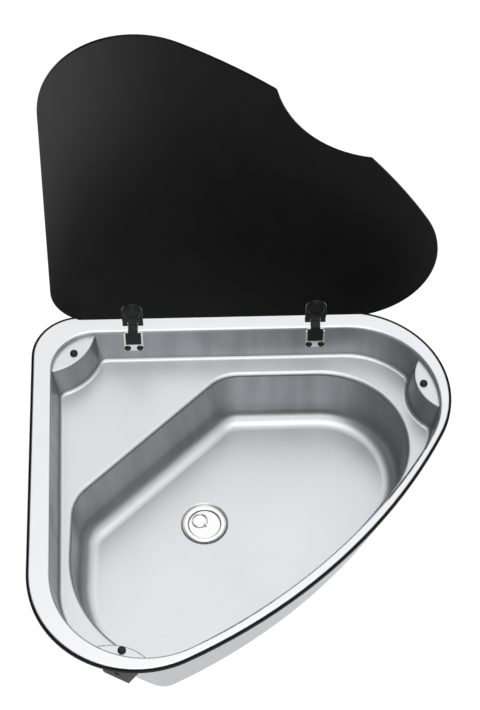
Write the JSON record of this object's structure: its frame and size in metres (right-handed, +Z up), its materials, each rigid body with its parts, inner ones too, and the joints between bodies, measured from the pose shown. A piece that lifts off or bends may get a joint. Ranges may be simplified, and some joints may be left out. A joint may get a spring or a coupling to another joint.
{
  "type": "corner kitchen sink with glass lid",
  "caption": "Three-sided pressed steel corner sink for a leisure vehicle, dropped into a worktop, with a deep bowl, side shelf, drain and a hinged black glass lid.",
  "frame": {"origin": "virtual corner of the straight back and left rim edges, on the worktop (underside of the rim seal)", "axes": "+Z up, +X to the right along the hinge side, +Y to the back, so -Y is the rounded front corner"},
  "size_m": [0.5681, 0.5812, 0.6985],
  "materials": {
    "stainless": "pressed stainless sheet, fine satin",
    "polished_steel": "polished stainless",
    "bright_plate": "bright stainless strip",
    "black_glass": "toughened glass, black backed, high gloss",
    "black_enamel": "black coating, semi gloss",
    "black_screw": "black zinc",
    "black_bracket": "black coating, matt",
    "seal_rubber": "matt black rubber",
    "bumper_rubber": "black rubber, slight sheen",
    "waste_plastic": "moulded black plastic"
  },
  "bodies": {
    "sink": {"basin_tray": "stainless", "basin_bowl": "stainless", "rim_seal": "seal_rubber", "hinge_pins": "polished_steel", "hinge_bracket_left": "bright_plate", "hinge_bracket_right": "bright_plate", "hinge_leaf_left": "black_enamel", "hinge_leaf_right": "black_enamel", "leaf_screws": "black_screw", "leaf_nuts": "polished_steel", "bumper_rear_left": "bumper_rubber", "bumper_right": "bumper_rubber", "bumper_front": "bumper_rubber", "bumper_studs": "polished_steel", "bracket_rear_left": "black_bracket", "bracket_right": "black_bracket", "bracket_front": "black_bracket", "bracket_nuts": "polished_steel", "drain_upper_gasket": "seal_rubber", "drain_flange": "polished_steel", "drain_lower_gasket": "seal_rubber", "waste_body": "waste_plastic", "waste_screw": "polished_steel", "outlet_seal": "seal_rubber", "outlet_barb": "waste_plastic", "outlet_nut": "waste_plastic"},
    "lid": {"lid_glass": "black_glass", "hinge_arm_left": "black_enamel", "hinge_arm_right": "black_enamel", "hinge_cap_left": "black_enamel", "hinge_cap_right": "black_enamel", "grommet_left": "seal_rubber", "grommet_right": "seal_rubber", "clamp_screws": "black_screw"},
    "plug": {"plug_body": "bumper_rubber", "plug_cap": "polished_steel"},
    "plug_pull": {"plug_ring": "polished_steel"}
  },
  "joints": [
    {"name": "lid_hinge", "type": "hinge", "parent": "sink", "child": "lid", "pos_m": [0, -0.0147, 0.0095], "axis": [1, 0, 0], "range_deg": [0, 96.7]},
    {"name": "plug_lift", "type": "slide", "parent": "sink", "child": "plug", "axis": [0, 0, 1], "range_m": [0, 0.06]},
    {"name": "plug_ring_flip", "type": "hinge", "parent": "plug", "child": "plug_pull", "pos_m": [0.23002, -0.24595, -0.1464], "axis": [0.682, 0.7314, 0], "range_deg": [0, 165]}
  ]
}
